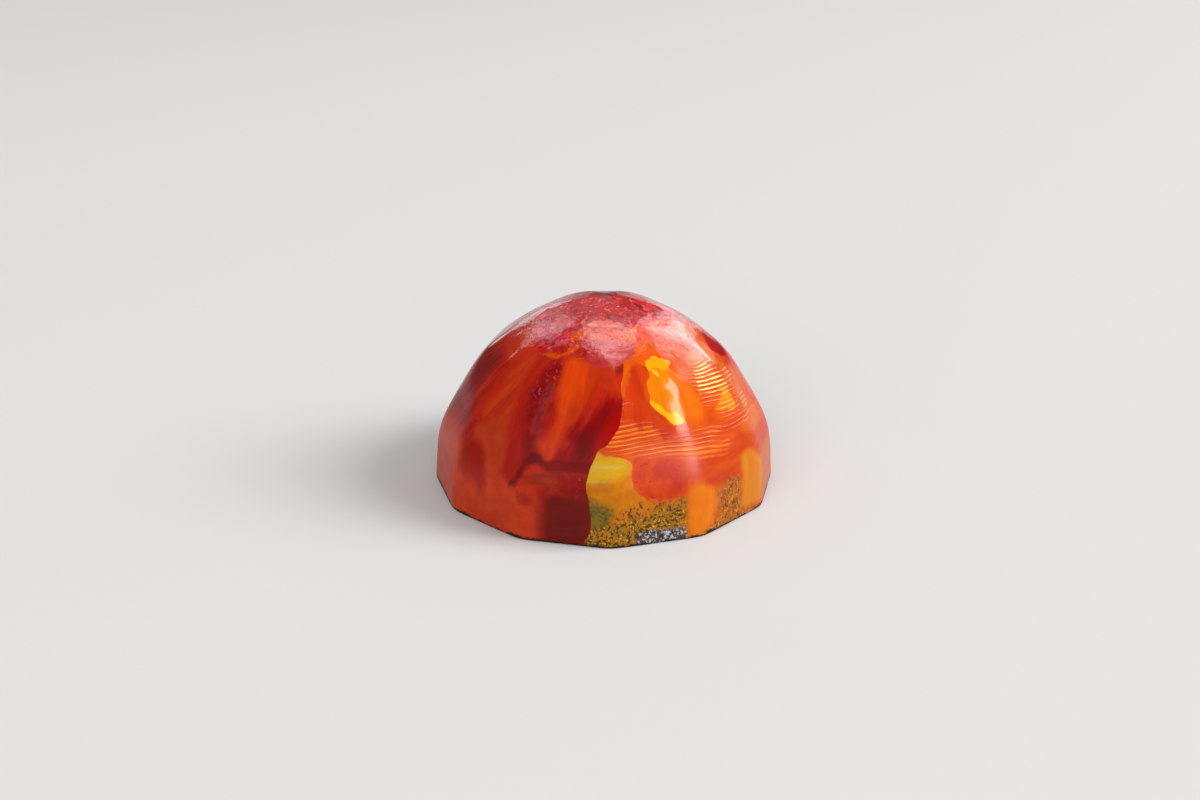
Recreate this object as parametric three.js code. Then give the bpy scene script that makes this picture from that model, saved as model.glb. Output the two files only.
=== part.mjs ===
// A hand-painted chocolate praline: one solid moulded dome on a twelve-sided foot.
//
// Twelve side faces rise almost straight from the foot, lean in over a first shoulder and a second
// one, and meet along rounded ridges that grow softer upwards. Near the top a crown of flatter
// facets, one over each ridge, closes the dome to a low point. Every other crown facet is set back,
// so that large and small ones take turns.
//
// Sizes are in millimetres. +Z is up and the origin is the centre of the flat foot. A ridge faces -Y.

import * as THREE from 'three';
import { mergeVertices } from 'three/addons/utils/BufferGeometryUtils.js';

const SIDES = 12;
const HEIGHT = 16.8;

// A side face, in the upright plane through its middle: three straight stretches, each given by
// where it would meet the foot's level and how far it leans in from upright.
const WALL = { atFoot: 14.71, lean: 1.0 };
const FLANK = { atFoot: 17.43, lean: 29.9 };
const SHOULDER = { atFoot: 27.70, lean: 55.1 };
const WALL_TO_FLANK = 0.90;
const FLANK_TO_SHOULDER = 1.00;

// A crown facet, measured down from the top point: nearly level at the point, steeper lower down.
// Every other facet stands further out than its neighbours by the setback.
const CROWN_LEAN = 60.6;
const POINT_LEAN = 80.0;
const POINT_SPREAD = 0.71;
const CROWN_SETBACK = 0.39;

// How crisp the ridges between neighbouring faces are, where a higher number is a sharper ridge:
// at the foot, and higher up, past the height over which they soften.
const FOOT_CRISPNESS = 80;
const UPPER_CRISPNESS = 45;
const SOFTENING_HEIGHT = 4.0;

// Fineness of the solid: straight steps round the foot and rings from the foot to the point.
const STEPS_PER_SIDE = 8;
const RINGS = 24;
const MERGE_DISTANCE = 1e-4;

const SHELL_COLOUR = 0xd8480f;
const SHELL_ROUGHNESS = 0.16;

/** The tangent of an angle in degrees. */
function tangent( degrees ) {

	return Math.tan( THREE.MathUtils.degToRad( degrees ) );

}

/** Reach of a straight leaning stretch from the axis at height z. */
function stretchReach( stretch, z ) {

	return stretch.atFoot - z * tangent( stretch.lean );

}

/** The smaller of two reaches, with the corner between them rounded off over a given width. */
function roundedCorner( a, b, width ) {

	return ( a + b - Math.hypot( a - b, width ) ) / 2;

}

/** Distance from the axis to the middle of a side face at height z. */
function sideReach( z ) {

	const lower = roundedCorner( stretchReach( WALL, z ), stretchReach( FLANK, z ), WALL_TO_FLANK );
	return roundedCorner( lower, stretchReach( SHOULDER, z ), FLANK_TO_SHOULDER );

}

/** Distance from the axis to the middle of a crown facet at height z. */
function crownReach( z ) {

	const below = HEIGHT - z;
	const easing = POINT_SPREAD * ( 1 - Math.exp( - below / POINT_SPREAD ) );
	return tangent( CROWN_LEAN ) * below + ( tangent( POINT_LEAN ) - tangent( CROWN_LEAN ) ) * easing;

}

/** How crisp the ridges are at height z. */
function crispness( z ) {

	const easing = Math.exp( - Math.pow( z / SOFTENING_HEIGHT, 2 ) );
	return UPPER_CRISPNESS + ( FOOT_CRISPNESS - UPPER_CRISPNESS ) * easing;

}

/** How strongly one face, its middle at a turn and a reach, holds the surface in at an azimuth. */
function faceHold( azimuth, turn, reach, power ) {

	const facing = Math.cos( azimuth - turn );
	return facing > 0 ? Math.pow( facing / reach, power ) : 0;

}

/** Distance from the axis to the surface at an azimuth, where 0 faces -Y, and a height. */
function surfaceReach( azimuth, z ) {

	const step = 2 * Math.PI / SIDES;
	const side = sideReach( z );
	const crown = crownReach( z );
	const scale = Math.min( side, crown );
	const power = crispness( z );
	let hold = 0;

	for ( let i = 0; i < SIDES; i ++ ) {

		const facet = crown + CROWN_SETBACK * ( i % 2 );
		hold += faceHold( azimuth, ( i + 0.5 ) * step, side / scale, power );
		hold += faceHold( azimuth, i * step, facet / scale, power );

	}

	return scale * Math.pow( hold, - 1 / power );

}

/** The praline's outline from the middle of the foot, out to its rim and up to the point. */
function upwardOutline() {

	const points = [ new THREE.Vector2( 0, 0 ) ];

	for ( let ring = 0; ring < RINGS; ring ++ ) {

		const z = HEIGHT * Math.sin( Math.PI / 2 * ring / RINGS );
		points.push( new THREE.Vector2( surfaceReach( 0, z ), z ) );

	}

	points.push( new THREE.Vector2( 0, HEIGHT ) );
	return points;

}

/** The outline turned round the axis, then each point moved out or in to its own face. */
function facettedDome() {

	const geometry = new THREE.LatheGeometry( upwardOutline(), SIDES * STEPS_PER_SIDE );
	geometry.rotateX( Math.PI / 2 );
	geometry.deleteAttribute( 'normal' );
	geometry.deleteAttribute( 'uv' );
	const position = geometry.getAttribute( 'position' );

	for ( let i = 0; i < position.count; i ++ ) {

		const x = position.getX( i );
		const y = position.getY( i );
		const z = position.getZ( i );
		if ( Math.hypot( x, y ) < MERGE_DISTANCE ) continue;
		const azimuth = Math.atan2( x, - y );
		const reach = surfaceReach( azimuth, z );
		position.setXYZ( i, reach * Math.sin( azimuth ), - reach * Math.cos( azimuth ), z );

	}

	const welded = mergeVertices( geometry, MERGE_DISTANCE );
	welded.computeVertexNormals();
	return welded;

}

const praline = new THREE.Mesh(
	facettedDome(),
	new THREE.MeshStandardMaterial( { color: SHELL_COLOUR, roughness: SHELL_ROUGHNESS, metalness: 0 } ),
);
praline.name = 'praline';

const group = new THREE.Group();
group.add( praline );

export default group;
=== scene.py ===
"""Looks of a hand-painted chocolate praline: a facetted dome under a glossy coat of coloured cocoa butter.

The coat is laid on as a decorator does it: a ground, then washes, patches and brush marks one over the
other, each with its own outline, edge and bristle marks. Sizes are in millimetres until they reach a mesh.
An azimuth is in degrees, 0 towards -Y and positive towards +X.
"""

import logging
import math
from dataclasses import dataclass, field
from enum import Enum

import bpy
import numpy as np
from mathutils import Matrix, Vector


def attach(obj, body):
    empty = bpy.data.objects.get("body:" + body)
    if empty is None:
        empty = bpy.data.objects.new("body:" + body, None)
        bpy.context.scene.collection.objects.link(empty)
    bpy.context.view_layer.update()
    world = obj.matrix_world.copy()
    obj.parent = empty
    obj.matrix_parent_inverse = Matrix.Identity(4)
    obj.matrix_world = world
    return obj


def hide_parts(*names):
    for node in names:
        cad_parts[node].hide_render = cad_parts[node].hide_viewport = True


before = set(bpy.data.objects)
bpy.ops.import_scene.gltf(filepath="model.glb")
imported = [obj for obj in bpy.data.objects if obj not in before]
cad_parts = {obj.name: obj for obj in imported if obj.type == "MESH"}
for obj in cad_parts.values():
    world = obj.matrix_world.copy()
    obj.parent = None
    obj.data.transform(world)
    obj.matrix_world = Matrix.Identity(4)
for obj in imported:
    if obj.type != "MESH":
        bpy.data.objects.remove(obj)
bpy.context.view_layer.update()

MM = 0.001
PHOTO_WIDTH = 1200
HAIR_BELOW = 1 - 1e-9  # keeps a height just below the top point, where the faces' reach is nought

Array = np.ndarray
Colour = tuple[int, int, int]
Outline = tuple[tuple[float, float], ...]

log = logging.getLogger("praline")


def linear(colour: Colour, gain: float = 1.0) -> tuple[float, float, float, float]:
    """Turn a display colour into a linear one.

    Args:
        colour: red, green and blue from 0 to 255, as a screen shows them.
        gain: a factor on the linear colour.

    Returns:
        Linear red, green and blue, and an alpha of 1.
    """
    shares = [channel / 255 for channel in colour]
    parts = [share / 12.92 if share <= 0.04045 else ((share + 0.055) / 1.055) ** 2.4 for share in shares]
    return tuple(min(part * gain, 1.0) for part in parts) + (1.0,)


@dataclass(frozen=True)
class Stretch:
    """A straight stretch of a side face: where it would meet the foot's level, and its lean from upright."""

    at_foot: float
    lean: float

    def reach(self, height: Array) -> Array:
        """Distance from the axis at each height."""
        return self.at_foot - height * math.tan(math.radians(self.lean))


@dataclass(frozen=True)
class DomeShape:
    """The moulded dome: side faces with two shoulders, and a crown of flatter facets half a step round."""

    sides: int = 12
    height: float = 16.8
    wall: Stretch = Stretch(14.71, 1.0)
    flank: Stretch = Stretch(17.43, 29.9)
    shoulder: Stretch = Stretch(27.70, 55.1)
    wall_to_flank: float = 0.90
    flank_to_shoulder: float = 1.00
    crown_lean: float = 60.6
    point_lean: float = 80.0
    point_spread: float = 0.71
    crown_setback: float = 0.39
    foot_crispness: float = 80.0
    upper_crispness: float = 45.0
    softening_height: float = 4.0

    @staticmethod
    def _rounded_corner(a: Array, b: Array, width: float) -> Array:
        """The smaller of two reaches, with the corner between them rounded over a width."""
        return (a + b - np.hypot(a - b, width)) / 2

    def side_reach(self, height: Array) -> Array:
        """Distance from the axis to the middle of a side face at each height."""
        lower = self._rounded_corner(self.wall.reach(height), self.flank.reach(height), self.wall_to_flank)
        return self._rounded_corner(lower, self.shoulder.reach(height), self.flank_to_shoulder)

    def crown_reach(self, height: Array) -> Array:
        """Distance from the axis to the middle of a crown facet: nearly level at the point, then steeper."""
        below = self.height - height
        steep = math.tan(math.radians(self.crown_lean))
        level = math.tan(math.radians(self.point_lean))
        easing = self.point_spread * (1 - np.exp(-below / self.point_spread))
        return steep * below + (level - steep) * easing

    def crispness(self, height: Array) -> Array:
        """How crisp the ridges are: crisp at the foot, easing with the height's square to a softer value."""
        easing = np.exp(-((height / self.softening_height) ** 2))
        return self.upper_crispness + (self.foot_crispness - self.upper_crispness) * easing

    def reach(self, azimuth: Array, height: Array) -> Array:
        """Distance from the axis to the surface.

        Every face holds the surface in by its facing over its own reach, raised to the crispness, and the
        reach is the sum of all holds to the power of minus one over the crispness. Every other crown facet
        stands a little further out, and so shows less.

        Args:
            azimuth: in radians, 0 towards -Y.
            height: above the foot.

        Returns:
            The distances, in the two arrays' common shape.
        """
        side = self.side_reach(height)
        crown = self.crown_reach(height)
        scale = np.minimum(side, crown)
        crispness = self.crispness(height)
        step = 2 * math.pi / self.sides
        hold = np.zeros(np.broadcast_shapes(azimuth.shape, height.shape))
        for index in range(self.sides):
            facet = crown + self.crown_setback * (index % 2)
            for reach, turn in ((side, step / 2), (facet, 0.0)):
                facing = np.maximum(np.cos(azimuth - turn - index * step), 0.0)
                hold += (facing * scale / reach) ** crispness
        return scale * hold ** (-1 / crispness)

    def point(self, azimuth: Array, height: Array) -> Array:
        """Points of the surface, with x, y and z along the last axis."""
        reach = self.reach(azimuth, height)
        return np.stack([reach * np.sin(azimuth), -reach * np.cos(azimuth), height + 0 * reach], axis=-1)


class FlatChart:
    """The dome laid out flat round its top point: the distance from the centre is the way up to the top."""

    SAMPLES = 2000
    START_BELOW_FOOT = -0.12

    def __init__(self, shape: DomeShape) -> None:
        """Measure the way to the top along a ridge, from below the foot, where some outlines end."""
        share = np.linspace(self.START_BELOW_FOOT, 1.0, self.SAMPLES)
        self.heights = shape.height * np.sin(np.pi / 2 * share) * HAIR_BELOW
        ridge = shape.point(np.zeros(self.SAMPLES), self.heights)
        steps = np.linalg.norm(np.diff(ridge, axis=0), axis=1)
        self.climb = np.concatenate([[0.0], np.cumsum(steps)])
        self.total = float(self.climb[-1])

    def down_from_top(self, height: Array) -> Array:
        """The way along the surface from the top point down to each height."""
        return self.total - np.interp(height, self.heights, self.climb)

    def height_at(self, down: Array) -> Array:
        """The height that lies a given way down from the top point."""
        return np.interp(self.total - down, self.climb, self.heights)

    def place(self, azimuth: Array, height: Array) -> Array:
        """Flat places for azimuths in radians and heights."""
        down = self.down_from_top(height)
        return np.stack([down * np.sin(azimuth), -down * np.cos(azimuth)], axis=-1)


class Grain(Enum):
    """Which way the bristle marks of a brush stroke run."""

    DIAGONAL = "diagonal"
    UPRIGHT = "upright"
    LEVEL = "level"
    MOTTLED = "mottled"


@dataclass(frozen=True)
class Patch:
    """One painted patch.

    Attributes:
        name: what it is, and what its distances are called on the mesh.
        colour: its paint.
        shade: its paint where bristle marks or mottling darken it.
        outline: closed, as (azimuth, height) places.
        edge: the width over which it fades out.
        ragged: how far its outline wanders.
        bristle: how far bristle marks push its outline.
        opacity: how well it covers what lies below.
        grain: which way its marks run.
        within: the patch whose outline bounds it too.
        combed: how far it breaks up into the comb's lines.
    """

    name: str
    colour: Colour
    shade: Colour
    outline: Outline
    edge: float = 0.25
    ragged: float = 0.15
    bristle: float = 0.0
    opacity: float = 1.0
    grain: Grain = Grain.MOTTLED
    within: str = ""
    combed: float = 0.0

    CURVE_STEPS = 8
    FARTHEST = 2.5

    def curve(self, chart: FlatChart) -> Array:
        """The outline's flat places on one closed smooth curve (Catmull-Rom) through its points."""
        azimuth, height = np.array(self.outline, float).T
        knots = chart.place(np.radians(azimuth), height)
        before, after, beyond = np.roll(knots, 1, 0), np.roll(knots, -1, 0), np.roll(knots, -2, 0)
        t = np.linspace(0, 1, self.CURVE_STEPS, endpoint=False)[None, :, None]
        p0, p1, p2, p3 = (p[:, None, :] for p in (before, knots, after, beyond))
        curve = p1 + 0.5 * t * (
            p2 - p0 + t * (2 * p0 - 5 * p1 + 4 * p2 - p3 + t * (3 * (p1 - p2) + p3 - p0))
        )
        return curve.reshape(-1, 2)

    def distance(self, shape: DomeShape, chart: FlatChart, flat: Array, points: Array) -> Array:
        """How far inside the outline each vertex lies, less than 0 outside.

        The size is the distance in space to the nearest stretch of the outline. The sign comes from how
        often a line from the flat place towards +X crosses the outline.

        Args:
            shape: the dome.
            chart: the dome laid out flat.
            flat: the vertices' flat places.
            points: the vertices' places in space.

        Returns:
            One distance for each vertex, at most FARTHEST either way.
        """
        curve = self.curve(chart)
        down = np.linalg.norm(curve, axis=1)
        around = np.arctan2(curve[:, 0], -curve[:, 1])
        solid = shape.point(around, chart.height_at(down))
        starts, ends = curve, np.roll(curve, -1, 0)
        inside = np.zeros(len(flat), bool)
        for (x0, y0), (x1, y1) in zip(starts, ends):
            spans = (y0 > flat[:, 1]) != (y1 > flat[:, 1])
            crossing = x0 + (flat[:, 1] - y0) / (y1 - y0 if y1 != y0 else 1e-12) * (x1 - x0)
            inside ^= spans & (flat[:, 0] < crossing)
        low, high = solid.min(0) - self.FARTHEST, solid.max(0) + self.FARTHEST
        near = np.all((points > low) & (points < high), axis=1)
        squared = np.full(len(points), self.FARTHEST**2)
        close = points[near]
        best = squared[near]
        for a, b in zip(solid, np.roll(solid, -1, 0)):
            along = b - a
            share = np.clip((close - a) @ along / max(along @ along, 1e-12), 0, 1)
            gap = close - a - share[:, None] * along
            best = np.minimum(best, np.einsum("ij,ij->i", gap, gap))
        squared[near] = best
        return np.where(inside, 1, -1) * np.sqrt(squared)


BELOW = -1.0  # an outline that runs off the painted wall ends this far below the foot

RIGHT_PATCHES = (
    Patch("low_amber", (188, 110, 4), (168, 92, 4), (
        (-9, 7.4), (-5.2, 7.7), (-2.5, 7.4), (3, 7.2), (6.8, 6.75), (6.4, 6.0), (6.9, 5.0), (8.6, 4.4),
        (10.8, 4.0), (10, 3.0), (4, 2.0), (-4, 1.6), (-10, 2.0), (-11, 5)), 0.08, 0.1),
    Patch("low_yellow", (196, 150, 16), (182, 128, 10), (
        (-9, 7.4), (-5.2, 7.68), (-4.2, 7.72), (-2.5, 7.42), (0, 7.3), (3, 7.22), (5.6, 7.0), (6.9, 6.75),
        (6.7, 6.4), (5.4, 6.0), (3, 5.9), (0, 5.6), (-4, 5.5), (-9, 5.3)), 0.9, 0.5, 0.1, within="low_amber",
        grain=Grain.LEVEL),
    Patch("low_pale_streaks", (190, 166, 74), (178, 146, 40), (
        (-8, 6.5), (-4, 6.75), (1, 6.75), (4, 6.6), (1, 6.4), (-4, 6.35), (-8, 6.2)), 0.3, 0.3, 0.2,
        opacity=0.8, grain=Grain.LEVEL),
    Patch("low_pale_line", (184, 148, 52), (172, 130, 30), (
        (-9, 5.6), (-4, 5.6), (0, 5.65), (-3, 5.4), (-9, 5.3)), 0.2, 0.2, 0.15, opacity=0.8,
        grain=Grain.LEVEL),
    Patch("low_olive", (102, 88, 16), (82, 86, 30), (
        (-10, 3.9), (-4, 3.8), (-0.6, 3.3), (-0.2, 2.2), (-1.6, 0.9), (-3.5, 0.3), (-10, 0.2)), 1.3, 0.6,
        opacity=0.85),
    Patch("speckled_amber", (180, 102, 12), (158, 86, 12), (
        (-2.4, 1.8), (1, 2.8), (5, 3.4), (9, 3.8), (14, 3.75), (19, 3.6), (24, 3.5), (25.2, 2.4), (25.2, 0.8),
        (25, BELOW), (-12, BELOW), (-12, 0.8), (-5, 1.4)), 0.5, 0.6),
    Patch("foot_net", (150, 104, 20), (120, 92, 24), (
        (-4, 1.9), (2, 2.3), (9, 2.5), (16, 2.9), (21, 3.4), (24.4, 3.4), (25, 1.6), (25, BELOW),
        (-12, BELOW), (-12, 1.2)), 1.0, 0.7, opacity=0.6),
    Patch("foot_frost", (62, 62, 64), (48, 46, 44), (
        (7, 1.0), (12, 1.2), (18, 1.15), (24, 1.0), (25, 0.5), (24.6, BELOW), (8.6, BELOW), (7.6, 0.4)), 0.4,
        0.5, opacity=0.75),
    Patch("red_orange", (188, 60, 10), (172, 46, 10), (
        (6.4, 5.6), (7.2, 6.9), (12, 7.3), (17, 7.1), (22, 7.0), (25.5, 6.2), (25.4, 4.8), (24, 3.9),
        (20, 3.7), (15, 3.9), (10.4, 4.2), (7.6, 4.9)), 0.5, 0.4, 0.2),
    Patch("red_dots", (168, 28, 12), (156, 22, 12), (
        (14, 6.0), (18, 6.6), (21.8, 6.2), (23, 5.4), (22.5, 4.4), (20.5, 4.4), (18.6, 5.4), (15, 5.5)), 0.5,
        0.9, opacity=0.6),
    Patch("band_red_orange", (188, 66, 10), (172, 50, 8), (
        (26, 6.2), (31, 6.4), (38, 6.3), (46, 6.5), (56, 6.9), (66, 6.7), (75, 6.1), (84, 5.5), (92, 5.3),
        (92, 3.6), (70, 3.6), (62, 4.2), (50, 3.9), (40, 3.8), (33, 4.2), (26, 5.0)), 1.2, 0.5, 0.3,
        grain=Grain.LEVEL),
    Patch("foot_amber", (188, 88, 12), (168, 78, 14), (
        (30, 3.4), (36, 3.8), (42, 3.8), (49, 3.6), (50.4, 2.5), (50.4, 1), (51, BELOW), (29, BELOW)), 0.9,
        0.5),
    Patch("foot_amber_net", (128, 92, 28), (104, 80, 30), (
        (38, 1.2), (39.4, 3.0), (43, 3.9), (47.5, 3.9), (49.4, 3.0), (49.6, 1.2), (56, 0.9), (58, BELOW),
        (30, BELOW), (31, 0.7)), 0.8, 0.6, opacity=0.35),
    Patch("ridge_orange", (206, 108, 6), (198, 98, 8), (
        (25.2, 0.4), (25.2, 3.0), (26, 4.2), (29, 4.6), (33, 4.2), (36, 3.4), (36, 2.0), (33, 0.8), (29, 0.2),
        (26, 0.2)), 1.1, 0.35),
    Patch("next_ridge_orange", (192, 112, 14), (184, 102, 16), (
        (50.4, 0.9), (50.6, 3), (51, 5.0), (54, 5.5), (58, 5.3), (63, 4.4), (68, 3.0), (69, 1.0), (60, 0.7)),
        0.7, 0.25, grain=Grain.UPRIGHT),
    Patch("right_foot_peach", (184, 88, 22), (170, 74, 18), (
        (66, 4.4), (76, 4.2), (88, 4.2), (100, 3.6), (112, 3.0), (112, BELOW), (66, BELOW)), 0.9, 0.4,
        grain=Grain.LEVEL),
    Patch("mid_ripples", (198, 76, 8), (182, 56, 8), (
        (-4, 7.7), (0, 8.5), (4, 11.2), (9, 11.2), (14, 10.0), (20, 9.0), (25, 8.6), (30, 8.8), (40, 8.6),
        (50, 8.2), (62, 8.4), (75, 8.0), (88, 7.4), (88, 6.4), (75, 6.9), (60, 7.1), (48, 6.9), (30, 6.6),
        (18, 6.9), (8, 7.2)), 0.6, 0.3, 0.2, grain=Grain.LEVEL),
    # Pale paint and painted highlights: light orange laid only on the comb's crests, standing in for their
    # glints.
    Patch("mid_lines_and_highlights", (228, 134, 44), (214, 104, 20), (
        (-4, 8.0), (-1, 8.9), (3, 9.8), (5, 10.9), (9, 11.0), (14, 9.9), (22, 8.4), (30, 8.4), (38, 8.1),
        (48, 7.6), (47, 6.5), (36, 6.5), (26, 6.9), (14, 7.1), (4, 7.4)), 0.9, 0.4, 0.5, opacity=0.75,
        combed=1.0, grain=Grain.LEVEL),
    Patch("upper_orange_red", (190, 54, 8), (170, 40, 8), (
        (5, 12), (8, 13.2), (14, 13.7), (20, 13.5), (19.5, 12.8), (17.5, 12.1), (17, 11), (17.5, 10.4),
        (20, 9.8), (23, 9.2), (25, 8.7), (22, 8.3), (17, 8.9), (13, 9.2), (9, 9.6), (4, 10)), 0.7, 0.4, 0.3,
        grain=Grain.UPRIGHT),
    Patch("upper_amber_rim", (204, 88, 4), (188, 70, 6), (
        (4.8, 11.6), (5.6, 12.6), (8, 13.3), (13, 13.9), (18, 14.2), (21, 14.1), (19.6, 13.5), (15, 13.4),
        (11, 13.0), (8, 12.2), (6.4, 11.4)), 0.5, 0.3, 0.2),
    Patch("red_wedge", (184, 58, 12), (172, 46, 12), (
        (17, 11.0), (17.4, 10.4), (20, 9.9), (22.6, 9.5), (24.4, 8.9), (23.4, 8.2), (20, 8.6), (17.5, 9.3),
        (15, 10.1), (14, 10.8)), 0.5, 0.3, 0.2),
    Patch("amber_cap", (216, 84, 8), (206, 68, 10), (
        (16.6, 13.5), (16.8, 14.2), (19, 14.55), (23, 14.45), (28, 14.1), (33, 13.8), (37, 13.3), (39, 12.6),
        (37, 12.0), (33, 12.6), (27, 13.2), (21, 13.2), (18, 13.2)), 0.25, 0.25, 0.1),
    Patch("upper_amber", (214, 122, 2), (206, 104, 4), (
        (20.3, 13.05), (20.9, 13.4), (23, 13.45), (25, 13.6), (26.8, 13.65), (29, 13.5), (32, 13.35),
        (35, 13.18), (34, 13.0), (31.6, 12.8), (33.6, 12.4), (35, 12.0), (33, 11.6), (31.6, 11.2),
        (31.4, 10.4), (31, 9.6), (29.4, 9.1), (26.5, 9.05), (24.6, 9.15), (23, 9.55), (22, 9.85),
        (19.5, 10.2), (17.6, 10.6), (17.0, 10.9), (17.5, 11.3), (17.2, 11.6), (17.8, 12.2), (19.6, 12.4),
        (20.5, 12.7)), 0.1, 0.15, 0.05, grain=Grain.UPRIGHT),
    Patch("upper_yellow_edge", (234, 172, 12), (230, 148, 6), (
        (17.0, 10.98), (17.8, 10.96), (19.4, 10.7), (21.4, 10.4), (23.4, 10.05), (25, 9.9), (26.6, 10.1),
        (28.2, 9.9), (29.6, 9.4), (29.6, 9.0), (28, 8.9), (25, 8.9), (23.2, 9.3), (22, 9.7), (19.5, 10.02),
        (17.2, 10.5)), 0.2, 0.25, 0.1, within="upper_amber", grain=Grain.UPRIGHT),
    Patch("upper_yellow", (216, 152, 4), (212, 136, 4), (
        (20.3, 13.1), (21, 13.42), (24, 13.5), (26.8, 13.66), (30, 13.47), (33, 13.32), (35.2, 13.16),
        (33, 12.98), (31, 12.8), (28, 12.75), (25, 13.0), (22.5, 12.92), (21, 12.8)), 0.12, 0.2,
        grain=Grain.DIAGONAL),
    Patch("yellow_fleck", (232, 168, 60), (228, 150, 36), (
        (22.2, 12.78), (23.5, 12.9), (24.9, 12.6), (24.4, 12.42), (23.2, 12.6)), 0.1, 0.1,
        grain=Grain.DIAGONAL),
    Patch("beside_amber", (224, 108, 4), (212, 90, 6), (
        (31, 12.4), (35, 12.3), (38, 11.6), (42, 10.8), (41, 9.6), (36, 9.0), (32.4, 9.2), (31.4, 10.8)), 1.3,
        0.4, 0.3, opacity=0.9),
    Patch("comb_orange", (206, 84, 10), (192, 62, 10), (
        (40, 12.0), (45, 12.6), (54, 12.7), (63, 12.2), (66, 10.8), (66, 9.4), (62, 8.2), (54, 8.0),
        (46, 8.8), (41, 10.2)), 1.2, 0.4, 0.3, grain=Grain.LEVEL),
    # Peach paint and painted reflection: a pale glare over the right shoulder.
    Patch("right_peach_paint_and_glare", (228, 128, 84), (214, 92, 48), (
        (43, 13.5), (50, 13.9), (60, 13.9), (69, 13.6), (73, 12.9), (70, 12.2), (62, 12.1), (54, 12.5),
        (46, 12.7)), 0.9, 0.8, opacity=0.8),
    # Yellow paint and painted highlights: cream laid only on the comb's crests, standing in for their glints.
    Patch("comb_yellow_and_highlights", (252, 228, 150), (242, 196, 90), (
        (43.4, 11.7), (46, 12.3), (50, 12.5), (55, 12.3), (60, 11.9), (61.5, 11.0), (60.4, 10.3), (55, 10.1),
        (50, 10.3), (46, 10.7), (43.6, 11.1)), 0.5, 0.3, 0.3, combed=1.0, grain=Grain.LEVEL),
    Patch("comb_blotch", (228, 168, 28), (218, 136, 20), (
        (48.4, 9.2), (51, 9.6), (54, 10.2), (57, 10.5), (60.6, 10.2), (61.4, 9.5), (60.4, 8.9), (57, 8.6),
        (54.5, 8.8), (51.6, 8.9)), 0.3, 0.35, 0.3, opacity=0.9, combed=0.55, grain=Grain.LEVEL),
    Patch("rim_amber_arcs", (226, 146, 40), (208, 104, 24), (
        (64, 11.6), (68, 12.0), (72, 11.6), (74, 10.2), (75, 8.6), (72, 7.9), (67, 8.2), (66, 9.6),
        (65, 10.6)), 0.5, 0.4, 0.3, opacity=0.8, combed=0.8, grain=Grain.LEVEL),
    Patch("right_amber_haze", (208, 112, 32), (196, 92, 28), (
        (58, 7.35), (64, 7.7), (72, 7.9), (80, 7.6), (80, 6.6), (72, 6.2), (65, 6.4), (60, 6.8)), 0.9, 0.4,
        0.3, opacity=0.7, grain=Grain.LEVEL),
    Patch("right_red", (184, 40, 12), (168, 28, 10), (
        (74, 11.4), (80, 11.6), (90, 11.7), (100, 11.2), (104, 10.2), (96, 9.8), (84, 10.4), (77, 10.8)), 0.8,
        0.4, 0.3, grain=Grain.LEVEL),
    Patch("right_crimson", (166, 0, 4), (136, 0, 6), (
        (72.4, 12.72), (75, 12.92), (79, 13.15), (84, 13.4), (89, 13.5), (96, 13.2), (104, 12.6), (106, 12.0),
        (98, 11.8), (90, 11.75), (84, 11.6), (78.5, 11.75), (76, 12.15), (73.5, 12.42)), 0.25, 0.2, 0.1),
)

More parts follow.
